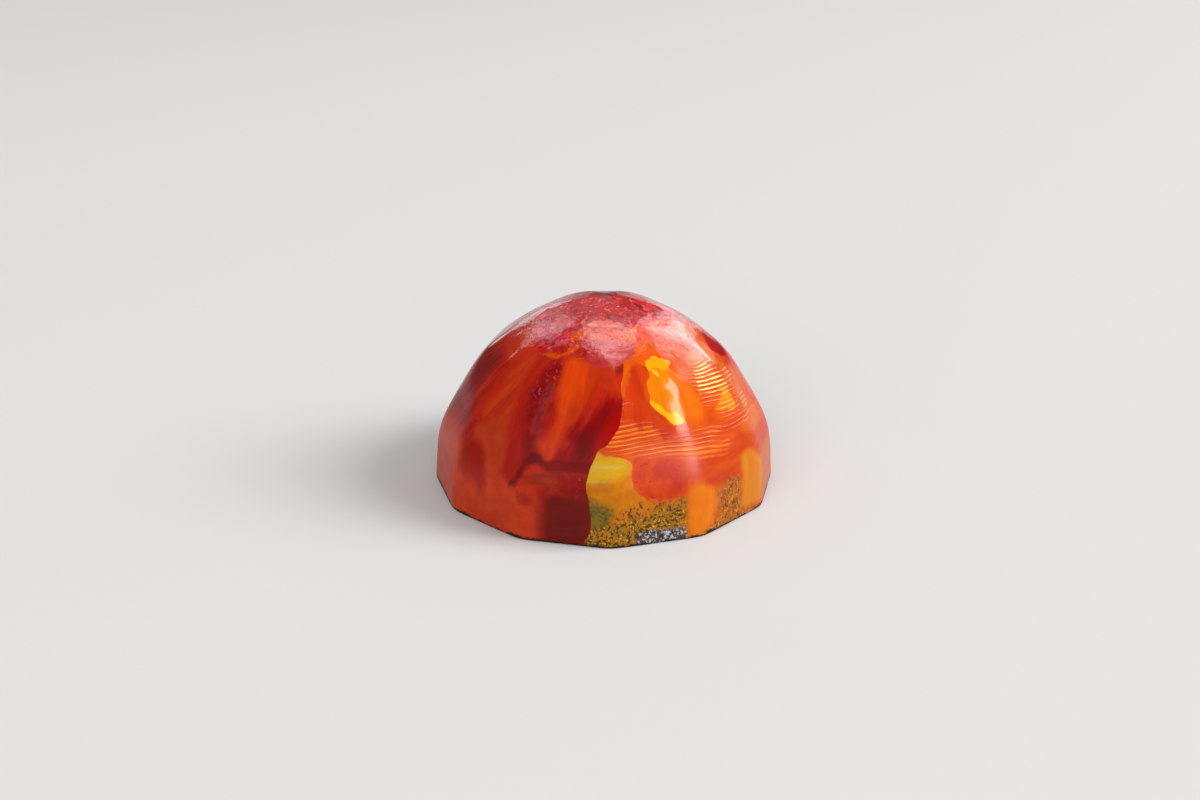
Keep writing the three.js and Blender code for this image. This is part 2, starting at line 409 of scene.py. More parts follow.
LEFT_PATCHES = (
    Patch("red_wash", (174, 34, 12), (146, 22, 10), (
        (7.6, 13.45), (6.6, 12.8), (5.2, 12.1), (4.8, 11.5), (5.2, 11.0), (4.4, 10.4), (4.0, 10.0),
        (3.3, 9.5), (1.8, 9.05), (0, 8.6), (-1.8, 8.1), (-4.6, 7.75), (-5.8, 7.2), (-7.2, 6.5), (-8.1, 5.6),
        (-8.4, 4.9), (-7.8, 4.2), (-7.2, 3.6), (-7.0, 3.0), (-6.6, 2.3), (-6.9, 1.4), (-7.7, 0.8),
        (-8.6, 0.4), (-9, BELOW), (-50, BELOW), (-100, BELOW), (-140, BELOW), (-156, 3), (-150, 7),
        (-158, 11), (-150, 14), (-120, 15), (-90, 15), (-60, 15.2), (-30, 15.5), (0, 15.0), (8, 14.2)), 0.06,
        0.08, 0.03, grain=Grain.DIAGONAL),
    # Maroon paint and painted shade: a soft dark patch on the left flank, which faces away from the key
    # light.
    Patch("left_maroon_and_shade", (142, 20, 10), (116, 15, 10), (
        (-63, 12.2), (-70, 12.4), (-78, 12.3), (-88, 12.5), (-100, 12), (-104, 9.5), (-98, 7.4), (-86, 6.7),
        (-76, 6.6), (-68, 6.8), (-62, 7.4), (-64, 8.5), (-68, 9.5), (-66, 10.8)), 2.0, 0.6, 0.4,
        grain=Grain.DIAGONAL),
    Patch("left_upper_orange", (188, 46, 10), (166, 34, 12), (
        (-48, 14.2), (-55, 14.3), (-62, 14.5), (-72, 14.6), (-82, 14.0), (-80, 13.2), (-70, 12.9),
        (-60, 12.6), (-52, 12.8), (-46, 13.4)), 0.9, 0.5, 0.4, grain=Grain.DIAGONAL),
    Patch("left_orange_streak", (186, 56, 16), (158, 36, 14), (
        (-43, 13.2), (-49, 13.3), (-53, 12.2), (-54, 10.5), (-57, 9.6), (-57, 8.9), (-54, 8.2), (-51, 7.6),
        (-47, 7.4), (-42, 8.6), (-42, 10), (-43.5, 11.5)), 1.0, 0.5, 0.6, grain=Grain.DIAGONAL),
    Patch("left_brown_field", (172, 52, 16), (158, 44, 16), (
        (-50, 8.4), (-44, 8.5), (-40.5, 7.6), (-39, 6.4), (-39.4, 5.2), (-42, 4.6), (-47, 4.6), (-49, 6.0),
        (-52, 6.6), (-56, 6.8), (-57, 7.6), (-53, 7.9)), 0.9, 0.4, 0.2),
    Patch("left_foot_orange", (178, 54, 14), (162, 42, 14), (
        (-24, 3.2), (-25, 4.0), (-29, 4.4), (-36, 4.7), (-43, 4.8), (-50, 4.4), (-56, 5.2), (-62, 5.9),
        (-67, 6.1), (-75, 5.6), (-88, 5.2), (-100, 5.2), (-112, 4.4), (-118, 2), (-114, BELOW), (-60, BELOW),
        (-24, BELOW), (-23.6, 1.5)), 1.3, 0.5, 0.2),
    Patch("left_dark_spot", (140, 14, 8), (128, 20, 8), (
        (-58, 6.2), (-53, 6.4), (-49, 6.0), (-47, 5.0), (-45.5, 3.6), (-48, 2.9), (-52, 3.5), (-56, 3.8),
        (-59, 4.2), (-59.6, 5.2)), 1.0, 0.6, opacity=0.8),
    Patch("red_flank", (156, 26, 16), (138, 20, 14), (
        (-39, 9.6), (-36, 9.8), (-31, 8.8), (-27.6, 8.0), (-25, 7.2), (-26, 6.6), (-30, 5.6), (-33, 4.7),
        (-37, 4.7), (-38.6, 6.2), (-39.6, 7.8)), 1.1, 0.5, 0.3, opacity=0.85, grain=Grain.UPRIGHT),
    Patch("purple_streak", (146, 26, 20), (108, 10, 12), (
        (-26.5, 13.3), (-31, 13.2), (-34, 12.6), (-36, 11.6), (-36.4, 10.4), (-35, 9), (-33, 7.8), (-32, 6.9),
        (-30, 6.8), (-27.5, 7.6), (-26.4, 8.7), (-25.4, 9.6), (-24.6, 10.8), (-24.5, 12.0), (-24.8, 12.9)),
        1.4, 0.7),
    Patch("purple_shadow", (138, 8, 6), (106, 4, 8), (
        (-35, 11.6), (-33, 12.6), (-30, 13.1), (-26.4, 13.2), (-24.8, 12.7), (-26.5, 12.2), (-28, 11.4),
        (-29, 10.6), (-32, 10.4), (-34.4, 10.9)), 0.7, 0.9, opacity=0.75),
    Patch("orange_streak", (190, 56, 6), (166, 40, 8), (
        (-24.4, 13.7), (-16, 13.6), (-8, 13.5), (-5.5, 13.2), (-6.5, 12.4), (-8.5, 11.6), (-11, 10.6),
        (-14.5, 9.7), (-17.5, 9.2), (-18.3, 8.4), (-19.6, 7.6), (-21.2, 6.9), (-22.3, 6.25), (-23.4, 6.8),
        (-25.5, 7.5), (-26.2, 7.9), (-23.4, 8.5), (-22.0, 9.4), (-22.2, 10.4), (-23.2, 11.2), (-24.0, 12.2),
        (-24.6, 13.0)), 0.75, 0.3, 0.3, grain=Grain.UPRIGHT),
    Patch("orange_core", (206, 66, 2), (196, 57, 4), (
        (-22, 13.5), (-14, 13.3), (-12.5, 12.6), (-14, 11.6), (-16.5, 10.8), (-19.5, 10.2), (-21, 10.8),
        (-22, 12.0)), 1.2, 0.4, opacity=0.8, grain=Grain.UPRIGHT),
    Patch("upper_brown", (176, 46, 10), (160, 36, 10), (
        (-8, 13.4), (0, 13.3), (5, 13.2), (6, 12.6), (4, 11.7), (0, 11.7), (-5, 12.2), (-8.4, 12.8)), 0.9,
        0.4, 0.2, opacity=0.8, within="red_wash"),
    Patch("deep_red", (140, 10, 8), (112, 8, 8), (
        (7, 11.2), (2, 11.5), (-3, 11.4), (-6.5, 10.9), (-9.5, 10.2), (-13, 9.5), (-16.5, 9.0), (-17.5, 8.2),
        (-19, 7.4), (-20.5, 6.7), (-18, 6.3), (-12, 6.3), (-4, 6.3), (3, 8), (9, 10)), 1.3, 0.5, 0.4,
        within="red_wash", grain=Grain.DIAGONAL),
    Patch("bright_deep_red", (156, 8, 6), (146, 6, 6), (
        (5.2, 10.2), (3.4, 9.4), (0, 8.5), (-4, 7.8), (-6, 7.2), (-6, 8.4), (-3.6, 9.2), (0, 9.9), (3, 10.4)),
        0.9, 0.4, opacity=0.8, within="red_wash"),
    Patch("deepest_red", (92, 6, 8), (84, 6, 10), (
        (-14, 8.9), (-10, 9.3), (-7, 8.7), (-7.6, 7.6), (-9.4, 7.1), (-12, 7.2), (-14.4, 8.0)), 1.3, 0.5,
        opacity=0.6),
    Patch("crown_spot", (118, 14, 4), (104, 12, 6), (
        (2, 13.2), (5, 13.4), (8, 13.3), (6.5, 12.9), (3, 12.7)), 0.4, 0.5, opacity=0.75, within="red_wash",
        grain=Grain.DIAGONAL),
    Patch("red_bar", (114, 6, 8), (98, 4, 8), (
        (-23, 6.6), (-14, 6.75), (-5, 6.7), (-5, 6.0), (-12, 5.95), (-20, 5.95), (-24, 6.1)), 0.5, 0.25, 0.15,
        opacity=0.85, within="red_wash", grain=Grain.LEVEL),
    Patch("brown_bar", (148, 42, 10), (128, 30, 10), (
        (-29, 5.2), (-26, 5.7), (-20, 5.75), (-13, 5.6), (-11, 5.2), (-15, 4.8), (-21, 4.75), (-27, 4.6)),
        0.7, 0.3, 0.25, grain=Grain.LEVEL),
    Patch("flecked_red", (136, 18, 8), (120, 14, 8), (
        (-17, 5.6), (-9, 5.9), (-4, 5.6), (-4, 4.4), (-10, 4.2), (-15, 4.2), (-17.5, 4.9)), 0.8, 0.5,
        within="red_wash"),
    Patch("hook", (84, 12, 12), (70, 10, 12), (
        (-35, 4.5), (-32.6, 5.3), (-31.4, 6.2), (-28.5, 7.0), (-25, 7.0), (-22.8, 6.4), (-22.4, 6.1),
        (-24.6, 6.35), (-27, 6.35), (-29, 6.0), (-30.4, 5.3), (-31.6, 4.75), (-33.4, 4.35)), 0.5, 0.4,
        opacity=0.8),
    Patch("hook_spot", (150, 20, 12), (132, 16, 10), (
        (-32, 3.8), (-29, 4.1), (-25.5, 3.8), (-25.6, 3.1), (-28, 2.9), (-31, 3.1)), 0.5, 0.7, opacity=0.6),
    Patch("dark_maroon", (90, 10, 6), (104, 18, 6), (
        (-22.6, 4.0), (-18, 4.5), (-12, 4.4), (-4, 4.2), (-3, 2), (-5, BELOW), (-21, BELOW), (-23.4, 1),
        (-23.2, 2.6)), 1.7, 0.4, 0.15, within="red_wash", grain=Grain.LEVEL),
)

BACK_PATCHES = (
    Patch("back_band", (188, 60, 10), (170, 44, 10), (
        (92, 6.2), (102, 6.9), (114, 6.4), (126, 7.0), (140, 6.6), (154, 7.4), (168, 6.6), (186, 7.0),
        (198, 6.0), (190, 4.2), (172, 3.8), (156, 4.4), (140, 3.9), (122, 4.3), (106, 3.9), (92, 4.2)), 1.3,
        0.5, 0.3, grain=Grain.LEVEL),
    Patch("back_low_amber", (188, 112, 8), (170, 92, 8), (
        (112, 3.6), (118, 4.6), (125, 4.9), (133, 4.1), (142, 3.7), (151, 4.6), (158, 5.3), (164, 4.6),
        (171, 3.8), (180, 3.2), (188, BELOW), (150, BELOW), (112, BELOW)), 0.7, 0.5),
    Patch("back_low_yellow", (198, 148, 18), (184, 126, 12), (
        (148, 4.2), (154, 5.0), (160, 5.5), (166, 4.6), (172, 3.8), (170, 3.1), (160, 3.3), (150, 3.4)), 1.2,
        0.7, 0.2, opacity=0.8, within="back_low_amber", grain=Grain.LEVEL),
    Patch("back_foot_net", (150, 104, 20), (120, 92, 24), (
        (118, 2.2), (124, 3.2), (132, 2.7), (140, 1.9), (148, 2.6), (156, 2.9), (166, 1.8), (174, 1.3),
        (182, BELOW), (150, BELOW), (116, BELOW)), 0.9, 0.7, opacity=0.6),
    Patch("back_deep_red", (152, 18, 10), (124, 12, 10), (
        (150, 13.6), (160, 13.3), (170, 12.2), (178, 10.4), (186, 8.2), (190, 7.0), (184, 6.4), (176, 7.4),
        (168, 8.6), (160, 10.0), (152, 11.6), (147, 12.8)), 1.2, 0.6, 0.5, grain=Grain.DIAGONAL),
    Patch("back_red_heart", (112, 8, 10), (98, 6, 10), (
        (160, 12.0), (167, 11.2), (174, 9.6), (179, 8.2), (174, 8.2), (167, 9.4), (160, 10.8)), 1.1, 0.5,
        opacity=0.7),
    Patch("back_orange_core", (222, 84, 4), (210, 68, 6), (
        (186, 13.4), (196, 13.4), (200, 12.0), (197, 10.0), (193, 8.2), (189, 8.8), (190, 10.8), (186, 12.4)),
        1.0, 0.5, 0.3, grain=Grain.UPRIGHT),
    # Pale paint and painted highlights: light orange on the back comb's crests, standing in for their glints
    # as at the front.
    Patch("back_lines_and_highlights", (232, 142, 52), (216, 108, 26), (
        (98, 9.4), (106, 10.0), (116, 9.8), (126, 8.9), (138, 8.5), (150, 7.9), (148, 7.1), (136, 7.2),
        (122, 7.3), (108, 7.0), (98, 7.4)), 0.9, 0.4, 0.4, opacity=0.75, combed=1.0, grain=Grain.LEVEL),
    Patch("back_amber_rim", (216, 88, 6), (204, 70, 8), (
        (119, 12.2), (127, 13.2), (136, 13.1), (142, 12.0), (142, 10.2), (138, 8.8), (130, 8.4), (122, 9.0),
        (118, 10.4)), 1.0, 0.5, 0.2),
    Patch("back_amber", (226, 122, 4), (218, 102, 4), (
        (123, 11.4), (125.6, 12.3), (129, 12.7), (132, 12.2), (136, 12.3), (138.4, 11.6), (136.6, 10.8),
        (138, 9.8), (135, 9.1), (131, 9.5), (127, 9.0), (124, 9.6), (125.6, 10.5)), 0.12, 0.2, 0.1,
        grain=Grain.UPRIGHT),
    Patch("back_yellow", (230, 172, 8), (226, 150, 6), (
        (124, 11.5), (126, 12.25), (129, 12.6), (131.4, 12.1), (129.6, 11.7), (127, 11.6), (125.4, 10.9)),
        0.15, 0.2, grain=Grain.UPRIGHT),
    Patch("back_left_streak", (190, 56, 14), (164, 38, 12), (
        (-140, 13.2), (-133, 13.2), (-128, 11.4), (-127, 9.2), (-131, 7.2), (-135, 6.2), (-139, 7.6),
        (-141, 10.0)), 1.1, 0.5, 0.5, grain=Grain.DIAGONAL),
    Patch("back_left_core", (208, 66, 8), (196, 54, 8), (
        (-137, 12.4), (-133, 12.2), (-131, 10.4), (-132, 8.4), (-135, 8.0), (-137, 10.0)), 0.9, 0.4, 0.2,
        opacity=0.8, grain=Grain.UPRIGHT),
    Patch("back_purple", (124, 22, 22), (92, 10, 14), (
        (-112, 12.4), (-106, 12.0), (-105, 10.0), (-108, 8.0), (-113, 7.4), (-117, 8.8), (-118, 11.0)), 1.3,
        0.7),
    Patch("back_brown_bar", (150, 44, 12), (132, 32, 12), (
        (-148, 5.0), (-140, 5.5), (-128, 5.4), (-118, 5.0), (-122, 4.5), (-134, 4.5), (-146, 4.3)), 0.7, 0.3,
        0.25, grain=Grain.LEVEL),
    Patch("back_maroon", (94, 12, 8), (106, 18, 8), (
        (-128, 4.0), (-120, 4.4), (-111, 4.0), (-107, 2.4), (-108, BELOW), (-128, BELOW), (-131, 2.4)), 1.4,
        0.4, 0.15, grain=Grain.LEVEL),
    Patch("back_foot_orange", (180, 56, 14), (164, 44, 14), (
        (-150, 3.2), (-142, 3.6), (-134, 3.2), (-131, BELOW), (-142, BELOW), (-152, BELOW)), 1.2, 0.4),
)

CROWN_PATCHES = (
    Patch("crimson_cap", (180, 12, 20), (140, 6, 12), (
        (-180, 13.8), (-168, 14.2), (-158, 14.9), (-146, 14.5), (-134, 13.9), (-122, 13.8), (-110, 14.3),
        (-100, 14.9), (-90, 14.5), (-80, 14.4), (-72, 14.7), (-60, 14.2), (-45, 13.7), (-32, 14.0),
        (-25, 14.6), (-15, 15.2), (0, 15.3), (12, 15.25), (25, 15.2), (40, 15.3), (60, 15.2), (75, 14.7),
        (86, 14.2), (98, 14.0), (108, 14.4), (116, 15.0), (128, 15.1), (138, 14.5), (150, 14.0), (162, 14.4),
        (170, 14.2)), 0.4, 0.8, 0.1),
    # Pinkish paint and painted reflection: a pale glare lobe over the crimson on the back of the crown.
    Patch("back_lobe_paint_and_glare", (200, 66, 74), (170, 20, 34), (
        (86, 14.9), (94, 14.2), (104, 14.3), (112, 14.9), (116, 15.6), (104, 15.9), (90, 15.7)), 0.35, 0.9,
        opacity=0.7),
    Patch("back_crown_orange", (222, 98, 14), (212, 72, 20), (
        (132, 14.9), (142, 14.6), (154, 14.7), (166, 15.0), (160, 15.3), (146, 15.3), (134, 15.2)), 0.4, 0.7,
        opacity=0.9),
    # Mauve paint and painted reflection: a pinkish glare lobe on the back of the crown, as at the front.
    Patch("back_top_mauve_and_glare", (204, 62, 70), (178, 34, 48), (
        (-172, 14.4), (-160, 15.0), (-146, 14.7), (-134, 14.2), (-122, 14.3), (-118, 15.0), (-130, 15.5),
        (-150, 15.6), (-168, 15.3)), 0.3, 0.6, opacity=0.8),
    # Mauve paint and painted reflection: the pinkish glare lobe at the front of the crown.
    Patch("crown_mauve_and_glare", (178, 56, 52), (158, 34, 36), (
        (-14, 14.1), (-20, 14.8), (-10, 14.9), (3, 14.85), (12, 14.9), (19, 14.6), (17, 13.9), (12, 13.5),
        (5, 13.25), (-5, 13.2), (-11, 13.5)), 0.2, 0.3, 0.3, grain=Grain.LEVEL),
    Patch("left_lobe_line", (222, 92, 8), (196, 56, 8), (
        (-42, 13.6), (-34, 13.7), (-26, 14.0), (-22, 14.4), (-21, 14.3), (-25, 13.85), (-33, 13.5),
        (-42, 13.45)), 0.35, 0.6, opacity=0.6),
    # Pinkish paint and painted reflection: a whitish-pink glare band over the upper left of the crown.
    Patch("left_lobe_paint_and_glare", (198, 66, 78), (166, 18, 30), (
        (-72, 14.9), (-62, 14.3), (-48, 13.85), (-36, 13.9), (-28, 14.4), (-25, 15.0), (-32, 15.5),
        (-44, 15.6), (-60, 15.5), (-70, 15.3)), 0.35, 0.9, opacity=0.75),
    # Pink paint and painted reflection: a pale mottled glare over the upper right of the crown.
    Patch("crown_right_pink_and_glare", (214, 92, 60), (196, 58, 48), (
        (20, 15.2), (34, 15.4), (50, 15.2), (62, 14.9), (70, 14.3), (66, 13.6), (56, 13.4), (48, 13.2),
        (40, 13.8), (30, 14.4), (22, 14.6)), 0.8, 0.6, 0.2),
    Patch("crown_orange_marks", (190, 72, 4), (180, 50, 8), (
        (-30, 14.9), (-22, 15.25), (-12, 15.3), (-4, 15.25), (2, 15.1), (-2, 14.95), (-10, 14.8),
        (-18, 14.75), (-26, 14.5)), 0.35, 0.5, 0.2, opacity=0.9),
    Patch("crown_orange_haze", (200, 68, 20), (188, 50, 20), (
        (-8, 15.3), (4, 15.3), (14, 15.2), (20, 14.9), (14, 14.7), (4, 14.7), (-8, 14.75)), 0.5, 0.5,
        opacity=0.8),
    Patch("crown_pale_marks", (206, 108, 82), (188, 74, 58), (
        (-24, 15.55), (-12, 15.75), (2, 15.7), (14, 15.5), (6, 15.4), (-8, 15.45), (-18, 15.35)), 0.25, 0.6,
        0.2, opacity=0.8),
    Patch("crown_dark_point", (112, 2, 10), (84, 0, 8), (
        (-180, 16.45), (-135, 16.5), (-90, 16.6), (-45, 16.68), (0, 16.66), (45, 16.7), (90, 16.6),
        (135, 16.5)), 0.5, 0.5, opacity=0.8),
)

PATCHES = RIGHT_PATCHES + LEFT_PATCHES + BACK_PATCHES + CROWN_PATCHES


@dataclass(frozen=True)
class Noise:
    """A noise: its waves for each unit of a place, its finer layers and their strength, and its seed."""

    scale: float
    detail: float
    roughness: float
    seed: float = 0.0


@dataclass(frozen=True)
class Speckles:
    """Small drops of one colour over one patch, the peaks of a noise.

    Attributes:
        zone: the patch's name.
        colour: of the drops.
        per_mm: the noise's waves for each millimetre, so that a higher number makes smaller drops.
        threshold: where the peaks begin, so that a higher number leaves fewer drops.
        spread: how softly they begin.
        strength: how well they cover.
        seed: of the noise.
    """

    zone: str
    colour: Colour
    per_mm: float
    threshold: float
    spread: float = 0.06
    strength: float = 0.9
    seed: float = 0.0

    DETAIL = 2.0
    ROUGHNESS = 0.5

    def noise(self) -> Noise:
        """The noise whose peaks are the drops."""
        return Noise(self.per_mm, self.DETAIL, self.ROUGHNESS, self.seed)


SPECKLES = (
    Speckles("speckled_amber", (62, 54, 24), 3.8, 0.53),
    Speckles("foot_net", (48, 44, 26), 4.2, 0.51, seed=23),
    Speckles("foot_net", (204, 150, 20), 4.4, 0.60, strength=0.85, seed=29),
    Speckles("speckled_amber", (196, 60, 14), 2.8, 0.62, strength=0.7, seed=3),
    Speckles("foot_frost", (170, 178, 192), 4.4, 0.52, strength=0.8, seed=31),
    Speckles("foot_frost", (36, 34, 34), 4.4, 0.55, seed=37),
    Speckles("foot_amber", (92, 66, 26), 4.0, 0.60, strength=0.8, seed=7),
    Speckles("foot_amber_net", (62, 52, 28), 4.0, 0.53, strength=0.85, seed=41),
    Speckles("foot_amber_net", (200, 136, 20), 4.2, 0.59, strength=0.8, seed=59),
    Speckles("back_low_amber", (70, 56, 22), 3.6, 0.57, strength=0.85, seed=11),
    Speckles("back_foot_net", (48, 44, 26), 4.2, 0.51, seed=89),
    Speckles("back_foot_net", (214, 160, 20), 4.4, 0.585, seed=97),
    Speckles("back_purple", (150, 70, 84), 3.4, 0.60, strength=0.6, seed=101),
    Speckles("back_lobe_paint_and_glare", (150, 8, 20), 1.5, 0.54, strength=0.8, seed=103),
    Speckles("back_top_mauve_and_glare", (150, 8, 20), 1.6, 0.54, spread=0.08, strength=0.7, seed=107),
    # Pale pink specks of painted glare over the back crown's lobe.
    Speckles("back_top_mauve_and_glare", (228, 128, 130), 1.9, 0.60, spread=0.10, strength=0.5, seed=109),
    Speckles("low_olive", (58, 66, 36), 3.8, 0.53, strength=0.75, seed=5),
    Speckles("crimson_cap", (100, 0, 8), 1.3, 0.54, spread=0.10, strength=0.7, seed=17),
    Speckles("crimson_cap", (214, 40, 30), 1.7, 0.56, spread=0.08, strength=0.7, seed=61),
    Speckles("crimson_cap", (226, 104, 96), 1.9, 0.60, spread=0.10, strength=0.6, seed=13),
    # Painted highlights: tiny pale specks on the crown that stand in for glints.
    Speckles("crimson_cap", (240, 170, 160), 3.4, 0.68, spread=0.05, strength=0.6, seed=73),
    Speckles("left_lobe_paint_and_glare", (150, 8, 20), 1.5, 0.54, strength=0.8, seed=67),
    # Pale pink specks of painted glare over the left lobe.
    Speckles("left_lobe_paint_and_glare", (226, 120, 126), 1.8, 0.58, spread=0.10, strength=0.5, seed=71),
    Speckles("crown_mauve_and_glare", (158, 16, 34), 1.2, 0.56, spread=0.10, strength=0.4, seed=79),
    Speckles("crown_right_pink_and_glare", (186, 16, 24), 1.6, 0.55, spread=0.1, strength=0.7, seed=43),
    Speckles("crown_right_pink_and_glare", (236, 156, 60), 2.0, 0.60, strength=0.7, seed=83),
    Speckles("purple_shadow", (150, 70, 84), 3.4, 0.58, strength=0.7, seed=47),
    Speckles("red_orange", (164, 26, 12), 2.2, 0.60, strength=0.6, seed=19),
    Speckles("flecked_red", (196, 56, 22), 2.2, 0.64, strength=0.7, seed=53),
)


@dataclass(frozen=True)
class Waves:
    """Broad, slow waves in space: their depth and length, and the seed of their directions."""

    depth: float
    shortest: float
    longest: float
    seed: int
    count: int = 9

    def at(self, points: Array) -> Array:
        """A mean of cosine waves in seeded directions at points in space, at most the depth either way."""
        draw = np.random.default_rng(self.seed)
        ways = draw.normal(size=(self.count, 3))
        ways /= np.linalg.norm(ways, axis=1, keepdims=True)
        lengths = draw.uniform(self.shortest, self.longest, self.count)
        starts = draw.uniform(0, 2 * math.pi, self.count)
        crests = np.cos(points @ (ways * (2 * math.pi / lengths)[:, None]).T + starts)
        return self.depth * crests.sum(-1) / self.count


@dataclass(frozen=True)
class Comb:
    """Ripples drawn round the dome with a dry brush: their spacing, height and the level they follow."""

    spacing: float = 0.37
    height: float = 0.022
    turns: tuple[float, ...] = (-180, -90, 0, 10, 20, 30, 40, 50, 60, 75, 90, 120, 150, 180)
    levels: tuple[float, ...] = (0, 0, 0, 0.35, 0.35, 0.1, -0.25, -0.55, -0.6, -1.1, -1.6, -1.2, -0.5, 0)
    zones: tuple[str, ...] = ("mid_ripples", "comb_orange", "rim_amber_arcs", "back_lines_and_highlights")
    fade: float = 0.5
    sway: Waves = Waves(depth=0.9, shortest=3.0, longest=7.0, seed=5)

    def phase(self, azimuth: Array, climb: Array, points: Array) -> Array:
        """How many ripples lie below each place: its way up from the foot, less the level, over the spacing.

        Args:
            azimuth: of each place, in radians.
            climb: the way up from the foot.
            points: the places in space, at which the hand sways.

        Returns:
            The counts, with the sway of the hand added.
        """
        level = np.interp(np.degrees(azimuth), self.turns, self.levels)
        return (climb - level) / self.spacing + self.sway.at(points)

    def strength(self, distances: dict[str, Array]) -> Array:
        """From 0 to 1 inside the combed zones, fading in from their outlines."""
        deepest = np.max([distances[name] for name in self.zones], axis=0)
        return np.clip(deepest / self.fade, 0, 1)


class Wire:
    """A shader socket that takes arithmetic: each operation adds a Math node."""

    def __init__(self, tree: bpy.types.NodeTree, socket: bpy.types.NodeSocket) -> None:
        """Keep the tree and the socket."""
        self.tree = tree
        self.socket = socket

    def _math(self, operation: str, first: "Wire | float", second: "Wire | float") -> "Wire":
        """Add one Math node.

        Args:
            operation: the node's operation.
            first: its first value.
            second: its second value.

        Returns:
            The node's result.
        """
        node = self.tree.nodes.new("ShaderNodeMath")
        node.operation = operation
        for slot, value in zip(node.inputs, (first, second)):
            if isinstance(value, Wire):
                self.tree.links.new(value.socket, slot)
            else:
                slot.default_value = value
        return Wire(self.tree, node.outputs[0])

    def __add__(self, other: "Wire | float") -> "Wire":
        """Sum."""
        return self._math("ADD", self, other)

    def __radd__(self, other: float) -> "Wire":
        """Sum, from a number."""
        return self._math("ADD", other, self)

    def __sub__(self, other: "Wire | float") -> "Wire":
        """Difference."""
        return self._math("SUBTRACT", self, other)

    def __rsub__(self, other: float) -> "Wire":
        """Difference, from a number."""
        return self._math("SUBTRACT", other, self)

    def __mul__(self, other: "Wire | float") -> "Wire":
        """Product."""
        return self._math("MULTIPLY", self, other)

    def __rmul__(self, other: float) -> "Wire":
        """Product, from a number."""
        return self._math("MULTIPLY", other, self)


Value = Wire | float | int | tuple


class Bench:
    """Where a material's nodes are put together."""

    def __init__(self, name: str) -> None:
        """Start an empty material with only its output."""
        self.material = bpy.data.materials.new(name)
        self.material.use_nodes = True
        self.tree = self.material.node_tree
        self.tree.nodes.clear()
        self.output = self.tree.nodes.new("ShaderNodeOutputMaterial")

    def node(
        self, kind: str, settings: dict[str, object], inputs: dict[str | int, Value], output: str | int = 0
    ) -> Wire:
        """Add one node.

        Args:
            kind: the node's type.
            settings: its own settings, set first.
            inputs: values or wires for its sockets, by name or number.
            output: which of its outputs to return.

        Returns:
            The chosen output.
        """
        node = self.tree.nodes.new(kind)
        for name, setting in settings.items():
            setattr(node, name, setting)
        for name, value in inputs.items():
            if isinstance(value, Wire):
                self.tree.links.new(value.socket, node.inputs[name])
            else:
                node.inputs[name].default_value = value
        return Wire(self.tree, node.outputs[output])

    def mix(self, factor: Value, below: Value, above: Value) -> Wire:
        """Lay one colour over another, by a factor from 0 to 1."""
        return self.node("ShaderNodeMix", {"data_type": "RGBA"}, {0: factor, 6: below, 7: above}, 2)

    def number(self, name: str) -> Wire:
        """A number kept on the mesh."""
        return self.node("ShaderNodeAttribute", {"attribute_name": name}, {}, "Fac")

    def place(self, name: str) -> Wire:
        """A vector kept on the mesh."""
        return self.node("ShaderNodeAttribute", {"attribute_name": name}, {}, "Vector")

    def noise(self, place: Wire, noise: Noise) -> Wire:
        """Add a noise over a place.

        Args:
            place: the place, which the noise's seed moves along all three axes.
            noise: the noise.

        Returns:
            Its height, from 0 to 1.
        """
        moved = self.node("ShaderNodeVectorMath", {"operation": "ADD"}, {0: place, 1: (noise.seed,) * 3})
        return self.node("ShaderNodeTexNoise", {"noise_dimensions": "3D"}, {
            "Vector": moved, "Scale": noise.scale, "Detail": noise.detail, "Roughness": noise.roughness})

    def step(self, value: Wire, low: float, high: float) -> Wire:
        """A smooth step from 0 at the low value to 1 at the high one."""
        return self.node("ShaderNodeMapRange", {"interpolation_type": "SMOOTHSTEP"}, {
            "Value": value, "From Min": low, "From Max": high})


@dataclass(frozen=True)
class ChocolateFinish:
    """Bare dark chocolate, as on the foot's rim and underneath."""

    colour: Colour = (46, 24, 17)
    shade: Colour = (30, 15, 11)
    rim_height: float = 0.24
    rim_softness: float = 0.08
    rim_raggedness: float = 0.5
    roughness: float = 0.34


@dataclass(frozen=True)
class CoatFinish:
    """The coat of coloured cocoa butter: a ground, then patches one over the other, glossy as the mould."""

    ground: Colour = (196, 78, 8)
    ground_shade: Colour = (182, 60, 8)
    roughness: float = 0.09
    roughness_spread: float = 0.05
    low_dulling: float = 0.20
    dull_heights: tuple[float, float] = (7.0, 9.5)
    specular_level: float = 0.12
    bristle_relief: float = 0.004
    comb_relief: float = 0.03
    crown_relief: float = 0.13
    crown_heights: tuple[float, float] = (12.8, 14.4)
    edge_relief: float = 0.006
    proud_edge: float = 0.12
    wander: Noise = Noise(1.3, 5.0, 0.6)
    mottling: Noise = Noise(0.75, 5.0, 0.62)
    bristles: Noise = Noise(1.0, 3.0, 0.6)
    bristle_push: float = 6.0
    shading: tuple[float, float] = (0.32, 0.68)
    comb_gaps: Noise = Noise(0.7, 2.0, 0.5, seed=7.3)
    comb_gap_depth: float = 2.4
    comb_line: tuple[float, float] = (0.56, 1.02)
    chocolate: ChocolateFinish = ChocolateFinish()


